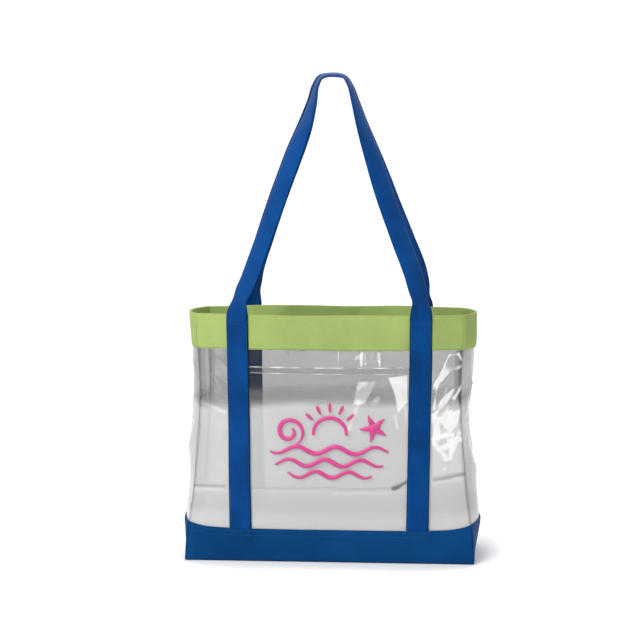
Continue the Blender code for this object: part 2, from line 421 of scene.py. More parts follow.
def cloth_finish(name, colour, deep, pale, pitch):
    """Coated polyester: plain weave, uneven dye and a soft sheen."""
    finish = Finish(
        name,
        Sheen_Weight=0.05,
        Sheen_Roughness=0.4,
        Sheen_Tint=bright(colour),
        Specular_IOR_Level=0.25,
        Specular_Tint=bright(colour),
    )
    weave = plain_weave(finish, pitch)
    patches = finish.noise(9, 4.0, 0.6)
    slubs = finish.noise(260, 2.0, 0.5)
    # The weave's relief also sets the tone: painted shade in the hollows between threads
    tone = patches.between(0.32, 0.68) * 0.55 + slubs * 0.25 + weave * 0.2
    shades = finish.blend(tone, tuple(c * deep for c in colour), tuple(c * pale for c in colour))
    creases = finish.noise(26, 5.0, 0.55)
    soft = finish.bump(creases, 0.004, 0.35)
    finish.feed(
        Base_Color=shades,
        Roughness=0.66 + weave * -0.1 + slubs * 0.14,
        Normal=finish.bump(weave, 0.00025, 0.8, soft),
    )
    return finish.material


def webbing_finish(name, colour, width):
    """Ribbed webbing: raised lengthwise ribs, fine weft ticks and tight edges."""
    finish = Finish(
        name,
        Sheen_Weight=0.08,
        Sheen_Roughness=0.4,
        Sheen_Tint=bright(colour),
        Specular_IOR_Level=0.35,
        Specular_Tint=bright(colour),
    )
    across, along = finish.metres()
    ribs = (across * (2 * math.pi / (width / 12))).wave()
    ticks = (along * (2 * math.pi / 0.0019) + ribs * 1.6).wave()
    relief = ribs * 0.45 + ticks * 0.3 + 0.5
    edge = ((across * (1 / width) - 0.5).size() * 2).between(0.86, 0.98)
    patches = finish.noise(14, 3.0, 0.6)
    # Painted light: the handle's stretch of the webbing is painted a little paler than the
    #     # straps at its two ends
    handle = along.between(0.33, 0.42) * (1 - along.between(0.97, 1.06))
    # The tone follows the relief: painted shade in the grooves between the ribs and ticks
    tone = relief * 0.5 + patches.between(0.3, 0.7) * 0.5 - edge * 0.25 + handle * 0.28
    shades = finish.blend(tone, tuple(c * 0.55 for c in colour), tuple(c * 1.45 for c in colour))
    finish.feed(
        Base_Color=shades,
        Roughness=0.5 + relief * 0.16,
        Normal=finish.bump(relief, 0.0004, 0.8),
    )
    return finish.material


def film_finish(name, colours, layers):
    """Clear soft film: smoky where it is empty, as painted shade for the bag's dim inside, and milky
    low down. Along its creases it whitens, partly on its own and partly as painted highlight and
    painted shade.
    """
    finish = Finish(name, Specular_IOR_Level=0.5, IOR=1.5)
    height = finish.node("ShaderNodeSeparateXYZ", None, {0: finish.spot()}, 2)
    cloud = finish.noise(6, 2.0, 0.5)
    low = 1 - (height + (cloud - 0.5) * 0.024).between(*HAZE_TOP)
    foot = 1 - height.between(*FOOT_TOP)
    # glare holds painted crease highlights and painted fold shade, with the film's own crease
    # whitening
    glare = finish.attribute("glare")
    milk = (low * LOW_WHITE + foot * FOOT_WHITE + glare * GLARE_WHITE).least(1.0)
    # film_shade, the smoky tone of the empty film, is painted shade for the bag's dim inside
    shades = finish.blend(milk, tuple(colours.film_shade), tuple(colours.film_milk))
    grazing = finish.node("ShaderNodeLayerWeight", None, {"Blend": 0.15}, 1)
    ripple = finish.noise(26, 1.0, 0.4)
    cover = (low * LOW_DENSITY + foot * FOOT_DENSITY + FILM_DENSITY) * layers
    cover = cover + glare.size() * GLARE_DENSITY + grazing * GRAZING_DENSITY
    finish.feed(
        Base_Color=shades,
        Alpha=cover.least(1.0),
        Roughness=0.06 + ripple * 0.08,
        Normal=finish.bump(ripple, 0.003, 0.5),
    )
    return finish.material


def thread_finish(name, colour):
    finish = Finish(name, Specular_IOR_Level=0.2)
    fuzz = finish.noise(900, 2.0)
    low, high = tuple(c * 0.7 for c in colour), tuple(min(1.0, c * 1.3) for c in colour)
    finish.feed(Base_Color=finish.blend(fuzz, low, high), Roughness=0.5 + fuzz * 0.2)
    return finish.material


def ink_finish(name, colour):
    """Screen-printed ink: even colour, slightly glossy, thin at its edges."""
    finish = Finish(name, Specular_IOR_Level=0.5)
    mottle = finish.noise(120, 3.0, 0.6)
    low, high = tuple(c * 0.85 for c in colour), tuple(min(1.0, c * 1.08) for c in colour)
    finish.feed(
        Base_Color=finish.blend(mottle, low, high),
        Roughness=0.3 + mottle * 0.2,
        Normal=finish.bump(mottle, 0.0003, 0.3),
    )
    return finish.material


def finish_named(name, make, *values):
    """One material per finish, made the first time it is asked for."""
    return bpy.data.materials.get(name) or make(name, *values)


def clear_material(part):
    """The clear finish of one part of the bag."""
    _, colours = bag_settings()
    return finish_named(f"{part}_finish", film_finish, colours, FILM_LAYERS[part])


def green_material():
    sizes, colours = bag_settings()
    values = (tuple(colours.green), 0.8, 1.15, sizes.thread_pitch)
    return finish_named("green_cloth_finish", cloth_finish, *values)


def blue_material():
    sizes, colours = bag_settings()
    values = (tuple(colours.blue_cloth), 0.75, 1.3, sizes.thread_pitch)
    return finish_named("blue_cloth_finish", cloth_finish, *values)


def webbing_material():
    sizes, colours = bag_settings()
    values = (tuple(colours.blue_webbing), sizes.web_width)
    return finish_named("blue_webbing_finish", webbing_finish, *values)


# ---------------------------------------------------------------- clear walls


# Creases of the film, where it was folded: ends as x and height, width, rise and whiteness.
# The whiteness is partly the folded film's own and partly painted highlight; a negative
# whiteness is painted shade on a fold that turns away from the light.
WALL_CREASES = (
    ((0.170, 0.299), (0.163, 0.284), 0.0018, 0.0012, 0.8),
    ((0.163, 0.284), (0.161, 0.262), 0.0016, 0.0010, 0.6),
    ((0.170, 0.299), (0.183, 0.300), 0.0018, 0.0012, 0.7),
    ((0.183, 0.300), (0.192, 0.285), 0.0020, 0.0012, 0.9),
    ((0.192, 0.285), (0.190, 0.256), 0.0020, 0.0012, 0.9),
    ((0.190, 0.256), (0.178, 0.236), 0.0030, 0.0014, 0.9),
    ((0.168, 0.252), (0.158, 0.226), 0.0030, 0.0010, 0.5),
    ((0.154, 0.262), (0.149, 0.222), 0.0016, 0.0008, 0.7),
    ((0.186, 0.188), (0.176, 0.160), 0.0022, 0.0008, 0.5),
    ((0.176, 0.186), (0.173, 0.150), 0.0018, 0.0008, 0.6),
    ((0.146, 0.178), (0.168, 0.150), 0.0026, 0.0010, 0.35),
    ((0.150, 0.121), (0.192, 0.128), 0.0020, 0.0010, -0.35),
    ((0.150, 0.117), (0.190, 0.123), 0.0040, 0.0006, 0.12),
    ((-0.190, 0.232), (-0.150, 0.214), 0.0030, 0.0010, 0.2),
    ((-0.196, 0.107), (-0.150, 0.108), 0.0016, 0.0006, -0.3),
    ((-0.196, 0.102), (-0.150, 0.103), 0.0040, 0.0005, 0.08),
    ((0.014, 0.306), (0.014, 0.290), 0.0010, 0.0005, 0.8),
    ((0.047, 0.304), (0.046, 0.284), 0.0022, 0.0008, 0.9),
    ((0.052, 0.304), (0.052, 0.286), 0.0016, 0.0006, 0.6),
    ((0.071, 0.304), (0.072, 0.284), 0.0028, 0.0008, 0.8),
    ((0.060, 0.304), (0.061, 0.296), 0.0012, 0.0006, 0.6),
    ((0.032, 0.304), (0.033, 0.296), 0.0010, 0.0006, 0.5),
)
# The pocket's creases, likewise: own whitening, painted highlight and, below 0, painted shade
POCKET_CREASES = (
    ((0.029, 0.194), (0.043, 0.234), 0.0030, 0.0010, 0.3),
    ((0.094, 0.214), (0.098, 0.196), 0.0014, 0.0008, 0.6),
    ((0.092, 0.109), (0.110, 0.118), 0.0036, 0.0012, -0.6),
    ((0.010, 0.107), (0.098, 0.110), 0.0018, 0.0008, -0.25),
    ((0.010, 0.102), (0.104, 0.104), 0.0040, 0.0006, 0.2),
    ((-0.112, 0.107), (0.010, 0.110), 0.0014, 0.0006, -0.25),
    ((-0.112, 0.102), (0.010, 0.105), 0.0040, 0.0005, 0.12),
    ((-0.040, 0.142), (0.060, 0.150), 0.0060, 0.0006, -0.10),
)
# The gussets' creases, likewise: own whitening and painted highlight
GUSSET_CREASES = (
    ((-0.011, 0.300), (0.014, 0.250), 0.0030, 0.0012, 0.3),
    ((0.014, 0.250), (-0.016, 0.200), 0.0040, 0.0014, 0.35),
    ((-0.016, 0.200), (0.019, 0.150), 0.0040, 0.0014, 0.25),
    ((0.028, 0.290), (0.005, 0.215), 0.0030, 0.0010, 0.3),
    ((-0.030, 0.170), (0.005, 0.120), 0.0040, 0.0010, 0.2),
)
# Facets between creases that catch the light, painted white as painted highlights:
# corners as x and height, then whiteness
WALL_FACETS = (
    (((0.150, 0.210), (0.186, 0.222), (0.196, 0.246), (0.184, 0.196), (0.170, 0.186)), 0.55),
    (((0.158, 0.216), (0.178, 0.222), (0.172, 0.204), (0.160, 0.188), (0.164, 0.206)), 0.85),
    (((0.146, 0.212), (0.158, 0.208), (0.160, 0.184), (0.146, 0.164)), 0.40),
    (((0.146, 0.192), (0.196, 0.206), (0.200, 0.130), (0.146, 0.124)), 0.10),
)
POCKET_FACETS = (
    (((0.039, 0.264), (0.073, 0.266), (0.062, 0.246), (0.052, 0.228), (0.032, 0.227)), 0.6),
    (((0.080, 0.270), (0.114, 0.274), (0.114, 0.232), (0.097, 0.213), (0.092, 0.242)), 0.95),
    (((0.104, 0.232), (0.114, 0.236), (0.114, 0.190), (0.106, 0.206)), 0.30),
)


def creases(across, up, lines):
    """Rise and whiteness that a set of creases gives at each place. The whiteness is partly
    the film's own and partly painted highlight, and it is painted shade where it is negative.
    """
    rise, white = np.zeros(across.shape), np.zeros(across.shape)
    for (x1, z1), (x2, z2), width, height, glare in lines:
        along = np.array((x2 - x1, z2 - z1))
        length = np.linalg.norm(along)
        along = along / length
        reach = (across - x1) * along[0] + (up - z1) * along[1]
        beyond = np.maximum(np.maximum(-reach, reach - length), 0)
        aside = (across - x1) * -along[1] + (up - z1) * along[0]
        ragged = 1 + 0.3 * np.sin(reach * 230 + x1 * 900) * np.sin(reach * 90)
        near = np.exp(-((aside / (width * ragged)) ** 2) - (beyond / (width * 0.8)) ** 2)
        rise += near * height
        white = white + near * glare
    return rise, white


def facets(across, up, shapes):
    """Whiteness of the flat places between creases, a painted highlight: 1 well inside each outline.
    """
    white = np.zeros(across.shape)
    for outline, glare in shapes:
        corners = np.array(outline)
        inside = np.zeros(across.shape, bool)
        near = np.full(across.shape, 1.0)
        for (x1, z1), (x2, z2) in zip(corners, np.roll(corners, -1, axis=0)):
            crosses = (z1 > up) != (z2 > up)
            inside ^= crosses & (across < (x2 - x1) * (up - z1) / (z2 - z1 + 1e-12) + x1)
            edge = np.array((x2 - x1, z2 - z1))
            reach = ((across - x1) * edge[0] + (up - z1) * edge[1]) / (edge @ edge)
            reach = np.clip(reach, 0, 1)
            gap = np.hypot(across - x1 - reach * edge[0], up - z1 - reach * edge[1])
            near = np.minimum(near, gap)
        white = np.maximum(white, ease(np.where(inside, near, 0) / 0.004) * glare)
    return white


def crumple(across, up, seed, centre, reach, count):
    """Sharp little folds about a centre, and painted highlights on the sides that face up and left."""
    random = np.random.default_rng(seed)
    rise = np.zeros(across.shape)
    for _ in range(count):
        turn = random.uniform(0, math.pi)
        x, z = (c + random.uniform(-1, 1) * r for c, r in zip(centre, reach))
        size = random.uniform(0.008, 0.022)
        aside = (across - x) * math.cos(turn) + (up - z) * math.sin(turn)
        near = np.exp(-((across - x) ** 2 + (up - z) ** 2) / size**2)
        rise += near * np.sqrt(aside**2 + 0.0008**2) * random.uniform(-0.16, 0.16)
    steep_up, steep_across = np.gradient(rise)
    step_across = np.gradient(across, axis=1)
    step_up = np.gradient(up, axis=0)
    # Painted glints where the folds' sides face up and left
    tilt = steep_up / step_up * 0.8 - steep_across / step_across * 0.6
    return rise, np.clip(tilt * 9 - 0.35, 0, 1)


def held_down(x, height):
    """1 where the film is free, 0 where a strap or a sewn edge holds it down."""
    strap = ease((np.abs(np.abs(x) - 0.128) - 0.016) / 0.010)
    return strap * ease((height - BOOT_HIGH) / 0.02) * ease((BAND_LOW + 0.004 - height) / 0.015)


def seam_shade(away):
    """How much darker the film looks beside a corner seam, where it doubles."""
    return 0.26 * np.exp(-((away / 0.0024) ** 2))


def make_wall_film(name, side, node):
    sizes, _ = bag_settings()
    rows = np.linspace(FILM_LOW, FILM_HIGH, WALL_ROWS)
    share, height = np.meshgrid(np.linspace(-1, 1, WALL_COLUMNS), rows)
    x = share * (plan_at(height)[0] - SEAM_TRIM)
    rise, white = creases(x * -side, height, WALL_CREASES)
    folds, glints = crumple(x * -side, height, 5, (0.168, 0.215), (0.022, 0.075), 44)
    upper, streaks = crumple(x * -side, height, 8, (0.070, 0.292), (0.050, 0.010), 12)
    free = held_down(x, height)
    offset = (rise * 0.8 + folds + upper) * free + sizes.film_thickness / 2
    grid = wall(x, height, offset, side)
    # Painted highlights of facets, glints and streaks, on top of the creases' whiteness and painted
    # shade
    white = white + facets(x * -side, height, WALL_FACETS) + glints + 0.6 * streaks
    white = np.clip(white, -0.6, 1) * ease(free * 3) * (1.0 if side < 0 else 0.25)
    white = white - seam_shade(plan_at(height)[0] - np.abs(x))
    made = make_sheet(
        name, grid, clear_material("clear_film"), sizes.film_thickness, flip=side > 0, glare=white
    )
    place(made, "clear_film", [node])
    flat_size(grid)
    return made


def make_gusset_film(name, end, node):
    sizes, _ = bag_settings()
    rows = np.linspace(FILM_LOW, FILM_HIGH, 150)
    share, height = np.meshgrid(np.linspace(-0.998, 0.998, 70), rows)
    rise, white = creases(share * 0.055, height, GUSSET_CREASES)
    folds, glints = crumple(share * 0.055, height, 15 + end, (0.0, 0.200), (0.03, 0.08), 22)
    free = (1 - share**8) * ease((height - BOOT_CORNER_HIGH) / 0.02)
    free = free * ease((BAND_LOW + 0.004 - height) / 0.015)
    grid = gusset(share, height, (rise + folds) * free + sizes.film_thickness / 2, end)
    # The creases' whiteness and painted shade, with painted glints; more on the right gusset
    white = np.clip(white + 0.6 * glints, 0, 1) * free * (0.8 if end > 0 else 0.4)
    white = white - seam_shade((1 - np.abs(share)) * 0.065)
    made = make_sheet(
        name, grid, clear_material("clear_film"), sizes.film_thickness, flip=end < 0, glare=white
    )
    place(made, "clear_film", [node])
    flat_size(grid)
    return made


def make_corner_allowance(name, side, end):
    """The turned-in edges of two film walls, sewn together inside a corner."""
    sizes, _ = bag_settings()
    height = np.linspace(FILM_LOW, FILM_HIGH, 60)
    corner_x, corner_y, _, _ = plan_at(height)
    inward = np.linspace(0.0006, 0.0112, 6)[:, None]
    bend = 0.0012 * np.sin(height * 60 + side + end)
    x = end * (corner_x - inward * 0.75 + bend * inward / 0.0112)
    y = side * (corner_y - inward * 0.66 - bend * inward / 0.0112)
    grid = np.stack((x, y, np.broadcast_to(height, x.shape)), -1).transpose(1, 0, 2)
    # The seam itself looks a little darker than the film beside it
    white = np.zeros(grid.shape[:2])
    white[:, 0], white[:, 1] = -0.3, -0.15
    film, thickness = clear_material("seam_film"), 2 * sizes.film_thickness
    made = make_sheet(name, grid, film, thickness, offset=0, glare=white)
    made.visible_shadow = False
    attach(made, "bag")
    flat_size(grid)


# ---------------------------------------------------------------- cloth


def fold_path(low, high, outer, inner, inner_low, steps=14):
    """Heights and offsets up the outer face, over a folded edge and down the inside."""
    radius, middle = (outer - inner) / 2, (outer + inner) / 2
    turn = np.linspace(0, math.pi, 9)[1:-1]
    up, down = np.linspace(low, high - radius, steps), np.linspace(high - radius, inner_low, steps)
    heights = np.concatenate((up, high - radius + radius * np.sin(turn), down))
    turned = middle + radius * np.cos(turn)
    offsets = np.concatenate((np.full(steps, outer), turned, np.full(steps, inner)))
    return heights, offsets


def pucker(across, height, low, high, seed):
    """Small gathers that the sewing draws into cloth beside its edges."""
    near = np.exp(-((height - low) / 0.008) ** 2) + np.exp(-((height - high) / 0.006) ** 2)
    return near * waves(across, height * 0.15, seed, 0.022, 0.0016, 5)


def seam_groove(share, half_width):
    """How far a sheet dives in beside a corner seam."""
    return 0.0008 * np.exp(-(((1 - np.abs(share)) * half_width / 0.0012) ** 2))


def meet_at_corner(grid, share, half_width, offset, axis):
    """Run a sheet's ends on past the seam, so that neighbours close over the corner."""
    reach = np.exp(-(((1 - np.abs(share)) * half_width / 0.0020) ** 2))
    grid[..., axis] += np.sign(share) * offset * reach
    return grid


def band_gather(x, height, side):
    """How far the sewing gathers a long wall's band in and out."""
    return pucker(x, height, BAND_LOW, RIM - 0.004, 31 + side)


def band_droop(x, height, side):
    """The rim isn't quite level between its seams."""
    sag = 0.0012 * waves(x, height * 0, 41 + side, 0.2, 2.0)
    return sag * ease((height - BAND_LOW) / 0.05) * (1 - np.abs(x / 0.195) ** 4)


def boot_gather(x, height, side, top):
    """How far the sewing gathers the boot's long sides in and out."""
    return pucker(x, height, 0.002, top - 0.004, 61 + side)


def make_wall_band(name, side, node):
    sizes, _ = bag_settings()
    heights, offsets = fold_path(BAND_LOW, RIM, BAND_FACE, -BAND_FACE, BAND_LOW + 0.003)
    share, height = np.meshgrid(np.linspace(-1, 1, 170), heights)
    offset = np.broadcast_to(offsets[:, None], height.shape)
    x = share * (plan_at(height)[0] - SEAM_TRIM)
    gather = band_gather(x, height, side) * offset / BAND_FACE - seam_groove(share, 0.19)
    grid = wall(x, height, offset + gather, side)
    grid[..., 2] += band_droop(x, height, side)
    grid = meet_at_corner(grid, share, 0.19, offset, 0)
    made = make_sheet(name, grid, green_material(), sizes.cloth_thickness, flip=side > 0)
    place(made, "green_cloth", [node])
    flat_size(grid)
    return made


def make_end_band(name, end, node):
    sizes, _ = bag_settings()
    heights, offsets = fold_path(BAND_LOW, RIM, BAND_FACE, -BAND_FACE, BAND_LOW + 0.003)
    share, height = np.meshgrid(np.linspace(-0.999, 0.999, 60), heights)
    offset = np.broadcast_to(offsets[:, None], height.shape)
    gather = pucker(share * 0.06, height, BAND_LOW, RIM - 0.004, 51 + end)
    gather = gather * offset / BAND_FACE
    grid = gusset(share, height, offset + gather - seam_groove(share, 0.055), end)
    grid = meet_at_corner(grid, share, 0.055, offset, 1)
    made = make_sheet(name, grid, green_material(), sizes.cloth_thickness, flip=end < 0)
    place(made, "green_cloth", [node])
    flat_size(grid)
    return made


def strap_middle(height):
    """Distance of a strap's middle from the bag's middle: straps lean out a little upwards."""
    share = (height - STRAP_FOOT) / (RIM - STRAP_FOOT)
    return STRAP_X_FOOT + (STRAP_X_TOP - STRAP_X_FOOT) * share


def strap_x(height, side, end):
    """Sideways place of a strap's middle; the back left one is sewn a little further in."""
    return end * (strap_middle(height) - (BACK_LEFT_IN if side > 0 and end < 0 else 0.0))


def boot_top(share):
    """Height of the boot's upper edge: level, then rising into the corners."""
    return BOOT_HIGH + (BOOT_CORNER_HIGH - BOOT_HIGH) * np.abs(share) ** 12


def boot_bulge(x, height, side):
    """The boot's top edge stands out where it passes over the ends of the straps."""
    away = np.abs(x - np.where(x < 0, strap_x(height, side, -1), strap_x(height, side, 1)))
    over = 1 - ease((away - 0.0155) / 0.006)
    return STRAP_BUMP * over * ease((height - 0.027) / 0.010)


def make_boot():
    """Front boot, floor and back boot, cut from one length of cloth."""
    sizes, _ = bag_settings()
    share = np.linspace(-1, 1, 170)
    corner_y = plan_at(0.0)[1]
    tops = boot_top(share)
    radius, middle = (BOOT_FACE - BOOT_TURN_IN) / 2, (BOOT_FACE + BOOT_TURN_IN) / 2
    fold = np.linspace(0, math.pi, 7)[1:-1]
    drops = np.concatenate(([0.0070, 0.0035, radius], radius * (1 - np.sin(fold)), [radius]))
    folded = np.concatenate((np.full(3, BOOT_TURN_IN), middle - radius * np.cos(fold), [BOOT_FACE]))
    floor_clear = 0.0004
    sides = []
    for side in (-1, 1):
        rows = tops[None, :] - drops[:, None]
        lower = 0.004 + (tops[None, :] - radius - 0.004) * np.linspace(1, 0, 24)[1:, None]
        height = np.concatenate((rows, lower))
        x = share[None, :] * (plan_at(height)[0] - SEAM_TRIM)
        face = np.concatenate((folded, np.full(23, BOOT_FACE)))[:, None]
        ruffle = boot_gather(x, height, side, tops[None, :]) * (face - BOOT_TURN_IN) / (2 * radius)
        ruffle = ruffle - seam_groove(share[None, :], 0.2)
        row = wall(x, height, face + boot_bulge(x, height, side) + ruffle, side)
        sides.append(meet_at_corner(row, share[None, :], 0.2, face, 0))
    turn = np.linspace(0, math.pi / 2, 5)[1:]
    foot_y = corner_y + BOOT_FACE
    ears = 0.0020 * np.abs(share) ** 24
    x = share * (plan_at(0.0)[0] - SEAM_TRIM) + np.sign(share) * ears
    bends = []
    for angle in turn:
        y = -(foot_y - 0.003 * (1 - math.cos(angle))) * np.ones_like(x)
        z = 0.0035 * (1 - math.sin(angle)) + floor_clear
        bends.append(np.stack((x, y, np.full_like(x, z)), -1))
    floor = [
        np.stack((x, np.full_like(x, y), np.full_like(x, floor_clear)), -1)
        for y in np.linspace(-foot_y + 0.012, foot_y - 0.012, 16)
    ]
    mirrored = [row * (1, -1, 1) for row in bends[::-1]]
    grid = np.array([*sides[0], *bends, *floor, *mirrored, *sides[1][::-1]])
    made = make_sheet("base_boot", grid, blue_material(), sizes.cloth_thickness, flip=True)
    place(made, "blue_cloth", ["base_wrap"])
    flat_size(grid)
    return made


def make_boot_end(name, end, node):
    sizes, _ = bag_settings()
    top = BOOT_CORNER_HIGH
    heights, offsets = fold_path(0.0006, top, BOOT_FACE, BOOT_TURN_IN, top - 0.007, 16)
    share, height = np.meshgrid(np.linspace(-0.999, 0.999, 60), heights)
    offset = np.broadcast_to(offsets[:, None], height.shape)
    gather = pucker(share * 0.07, height, 0.001, top - 0.004, 71 + end)
    gather = gather * (offset - BOOT_TURN_IN) / (BOOT_FACE - BOOT_TURN_IN)
    gather = gather - seam_groove(share, 0.07)
    grid = gusset(share, height, offset + gather, end)
    grid = meet_at_corner(grid, share, 0.07, offset, 1)
    made = make_sheet(name, grid, blue_material(), sizes.cloth_thickness, flip=end < 0)
    place(made, "blue_cloth", [node])
    flat_size(grid)
    return made


# ---------------------------------------------------------------- slip pocket and print


def pocket_face(x, height):
    """Outer face of the slip pocket over the skin: snug at its edges, slack at its mouth."""
    across = 1 - np.clip(np.abs(x) / 0.108, 0, 1) ** 3
    up = np.clip((height - BOOT_HIGH) / (POCKET_HIGH - BOOT_HIGH), 0, 1)
    return POCKET_FACE + 0.0040 * across * (1 - (1 - up) ** 2.5)


def on_pocket(x, height, lift):
    """Points over the slip pocket's creased face."""
    x, height = np.broadcast_arrays(np.asarray(x, float), np.asarray(height, float))
    rise, _ = creases(x, height, POCKET_CREASES)
    free = ease((height - BOOT_HIGH) / 0.02) * ease((0.112 - np.abs(x)) / 0.01)
    return wall(x, height, pocket_face(x, height) + rise * 0.8 * free + lift)


def make_pocket():
    sizes, _ = bag_settings()
    x, height = np.meshgrid(
        np.linspace(-POCKET_HALF, POCKET_HALF, 170), np.linspace(POCKET_LOW, POCKET_HIGH, 170)
    )
    _, white = creases(x, height, POCKET_CREASES)
    folds, glints = crumple(x, height, 3, (0.082, 0.235), (0.030, 0.045), 18)
    free = ease((height - BOOT_HIGH) / 0.02) * ease((POCKET_HIGH - 0.012 - height) / 0.01)
    free = free * ease((0.112 - np.abs(x)) / 0.01)
    # Painted highlights of the facets and glints join the creases' whiteness and painted shade
    white = white + facets(x, height, POCKET_FACETS) + 0.6 * glints * free
    white = np.clip(white, -0.6, 1)
    grid = on_pocket(x, height, folds * free)
    made = make_sheet(
        "slip_pocket", grid, clear_material("pocket_film"), sizes.film_thickness * 0.6, glare=white
    )
    place(made, "pocket_film", ["front_pocket"])
    flat_size(grid)
    return made


def make_hem():
    """The pocket's mouth, bound by a strip of film folded over it."""
    sizes, _ = bag_settings()
    hem = sizes.hem_height
    # Up the front, over the mouth and down behind; its edges and its sewing line are painted white,
    #     # partly the folded film's own whitening and partly painted highlight
    rows = np.array((0.0, 0.07, 0.14, 0.5, 0.86, 0.93, 1.0))
    heights = np.concatenate((POCKET_HIGH - hem + hem * rows, [POCKET_HIGH + 0.0008]))
    heights = np.concatenate((heights, POCKET_HIGH - hem * (1 - rows[::-1])))
    lifts = np.concatenate((np.full(7, 0.0006), [-0.0002], np.full(7, -0.0010)))
    x, height = np.meshgrid(np.linspace(-POCKET_HALF, POCKET_HALF, 120), heights)
    edges = np.array((0.9, 0.9, 0.2, 0.08, 0.2, 0.9, 0.9, 0.9, 0.5, 0.5, 0, 0, 0, 0.5, 0.5))
    grid = on_pocket(x, height, lifts[:, None])
    white = edges[:, None] * (0.7 + 0.3 * np.sin(x * 150) * np.sin(x * 63))
    made = make_sheet("pocket_mouth_hem", grid, clear_material("hem_film"), 0.0003, glare=white)
    place(made, "pocket_film", ["pocket_hem"])
    flat_size(grid)
    return made


def ribbon(points, widths):
    """A flat brush stroke: left and right edges of a line with changing width."""
    points = np.asarray(points, float)
    along = np.gradient(points, axis=0)
    along /= np.linalg.norm(along, axis=1, keepdims=True)
    aside = np.stack((-along[:, 1], along[:, 0]), -1) * np.asarray(widths)[:, None] / 2
    return np.stack((points - aside, points, points + aside), 1)


def brush(points, width, ends=0.35):
    """A stroke that swells in the middle and thins to its ends."""
    t = np.linspace(0, 1, len(points))
    swell = ends + (1 - ends) * np.sin(math.pi * t) ** 0.6
    return ribbon(points, width * swell)


def arc(centre, radius, start, end, count=40, shrink=0.0):
    """Points of an arc or spiral, in degrees."""
    t = np.linspace(0, 1, count)
    angle = np.radians(start + (end - start) * t)
    reach = radius * (1 - shrink * t)
    return np.stack((centre[0] + reach * np.cos(angle), centre[1] + reach * np.sin(angle)), -1)


def swell_line(left, right, height, rise, length, phase):
    """A rolling wave line."""
    x = np.linspace(left, right, 90)
    return np.stack((x, height + rise * np.sin(2 * math.pi * (x / length) + phase)), -1)


def motif_strokes():
    """A sun over rolling surf, with a starfish: strokes in x and height."""
    sun = (0.002, 0.187)
    strokes = [brush(arc(sun, 0.0235, -4, 184), 0.0056, 0.6)]
    for angle in range(40, 141, 25):
        reach = np.linspace(0.0310, 0.0450, 12)
        turn = math.radians(angle)
        ray = np.stack((sun[0] + reach * math.cos(turn), sun[1] + reach * math.sin(turn)), -1)
        strokes.append(brush(ray, 0.0046, 0.3))
    strokes.append(brush(arc((-0.0560, 0.190), 0.0215, -62, 410, 110, 0.74), 0.0062, 0.3))
    strokes.append(brush(swell_line(-0.083, 0.085, 0.164, 0.0050, 0.056, 0.4), 0.0066))
    strokes.append(brush(swell_line(-0.076, 0.078, 0.146, 0.0048, 0.051, 2.2), 0.0064))
    strokes.append(brush(swell_line(-0.058, 0.062, 0.129, 0.0044, 0.047, 4.0), 0.0058))
    for arm in range(5):
        turn = math.radians(90 + 14 + arm * 72)
        reach = np.linspace(0.0, 0.0200, 14)
        curl = turn + 0.18 * np.sin(reach / 0.0200 * 2.4)
        points = np.stack((0.0640 + reach * np.cos(curl), 0.196 + reach * np.sin(curl)), -1)
        strokes.append(ribbon(points, 0.0098 * (1 - reach / 0.0200) ** 0.8 + 0.0012))
    return strokes


def make_print():
    """The printed motif, a thin skin of ink on the pocket."""
    _, colours = bag_settings()
    ink = finish_named("pink_ink_finish", ink_finish, tuple(colours.print_pink))
    points, faces = [], []
    for number, stroke in enumerate(motif_strokes()):
        # Strokes lie a hair apart, so that crossing ones don't share a face
        lift = 0.00035 + 0.00002 * (number % 5)
        grid = on_pocket(stroke[..., 0], stroke[..., 1], lift)
        rows, columns = grid.shape[:2]
        index = np.arange(rows * columns).reshape(rows, columns) + len(points)
        quads = (index[:-1, :-1], index[1:, :-1], index[1:, 1:], index[:-1, 1:])
        faces += np.stack([q.ravel() for q in quads], -1).tolist()
        points += grid.reshape(-1, 3).tolist()
    made = new_object("pocket_print", points, faces, ink)
    solidify(made, 0.00015, 0)
    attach(made, "bag")
    return made


# ---------------------------------------------------------------- webbing


def smooth_route(points, spacing):
    """Points about a spacing apart on a smooth curve through the given points."""
    points = np.asarray(points, float)
    lengths = np.linalg.norm(np.diff(points, axis=0), axis=1)
    headings = np.diff(points, axis=0) / lengths[:, None]
    before, after = lengths[:-1, None], lengths[1:, None]
    turns = (headings[:-1] * after + headings[1:] * before) / (before + after)
    tangents = np.vstack((headings[:1], turns, headings[-1:]))
    starts = np.concatenate(([0], np.cumsum(lengths)))
    reach = np.linspace(0, starts[-1], int(starts[-1] / spacing))
    span = np.clip(np.searchsorted(starts, reach, side="right") - 1, 0, len(lengths) - 1)
    size = lengths[span][:, None]
    t = (reach - starts[span])[:, None] / size
    start, finish, leave, arrive = hermite(t)
    ends = start * points[span] + finish * points[span + 1]
    return ends + (leave * tangents[span] + arrive * tangents[span + 1]) * size


def back_shift(x, height):
    """How far the back loop lies from the front one's places: no two are sewn quite alike."""
    if x < 0:
        upper = 1 - 0.33 * ease((height - 0.50) / 0.12)
        return 0.003 - 0.012 * ease((height - 0.372) / 0.045) * upper
    return 0.004 * ease((height - 0.38) / 0.03) * (1 - ease((height - 0.48) / 0.08))


